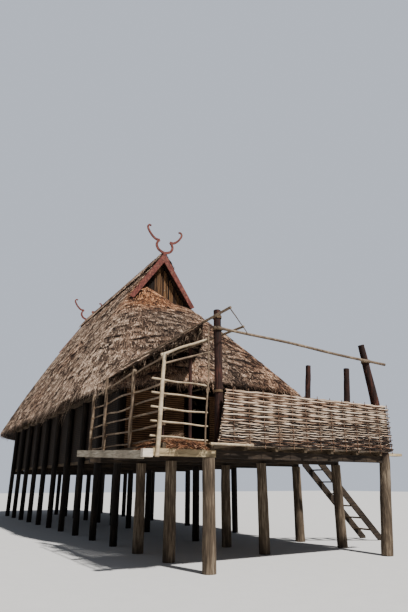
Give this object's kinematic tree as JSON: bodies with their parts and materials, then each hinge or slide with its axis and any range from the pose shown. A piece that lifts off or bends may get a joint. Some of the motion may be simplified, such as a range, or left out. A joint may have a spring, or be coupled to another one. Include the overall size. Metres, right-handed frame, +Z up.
{
  "type": "stilt house",
  "caption": "Long thatched house on timber stilts with rounded roof ends, curled gable horns, an open deck with a woven fence, a railed side balcony and a stair.",
  "frame": {"origin": "centre of the foot of the near corner stilt, on the ground", "axes": "+X along the deck's front towards the stair, +Y along the ridge away from the deck's front, +Z up"},
  "size_m": [8.5403, 23.0194, 11.1874],
  "materials": {
    "stilt_timber": "rough weathered log, grey-brown",
    "dark_timber": "rough log, very dark red-brown",
    "sawn_timber": "rough sawn, weathered",
    "bamboo": "dry bamboo poles, pale straw grey",
    "split_bamboo": "split and flattened bamboo",
    "thatch": "weathered grass thatch, grey-brown",
    "reed": "orange-brown reeds",
    "red_board": "red-brown worn paint on boards",
    "twig": "dry woven twigs, pale grey-tan"
  },
  "bodies": {
    "root": {"tall_corner_post": "dark_timber", "right_corner_post": "dark_timber", "deck_stub_posts": "dark_timber", "deck_stilts": "stilt_timber", "deck_bearers": "sawn_timber", "deck_joists": "sawn_timber", "deck_floor": "split_bamboo", "house_posts_left": "stilt_timber", "house_posts_right": "stilt_timber", "house_stilts_middle": "stilt_timber", "house_bearers": "sawn_timber", "house_joists": "sawn_timber", "house_floor": "split_bamboo", "left_wall": "split_bamboo", "right_wall": "split_bamboo", "back_wall": "split_bamboo", "front_wall_left": "split_bamboo", "front_wall_right": "split_bamboo", "front_wall_head": "split_bamboo", "wall_plates": "sawn_timber", "tie_beams": "sawn_timber", "king_posts": "stilt_timber", "ridge_pole": "stilt_timber", "rafters_left": "sawn_timber", "rafters_right": "sawn_timber", "purlins_left": "bamboo", "purlins_right": "bamboo", "thatch_left": "thatch", "thatch_right": "thatch", "thatch_front_end": "thatch", "thatch_back_end": "thatch", "ridge_cap": "thatch", "front_gable_screen": "reed", "back_gable_screen": "reed", "front_barge_boards": "red_board", "back_barge_boards": "red_board", "wing_thatch": "thatch", "wing_poles": "bamboo", "balcony_beams": "sawn_timber", "balcony_floor": "split_bamboo", "balcony_posts": "bamboo", "balcony_rails": "bamboo", "fence_stakes": "twig", "fence_wattle": "twig", "fence_rails": "bamboo", "front_pole": "bamboo", "stair_stringers": "sawn_timber", "stair_treads": "sawn_timber"}
  },
  "joints": []
}
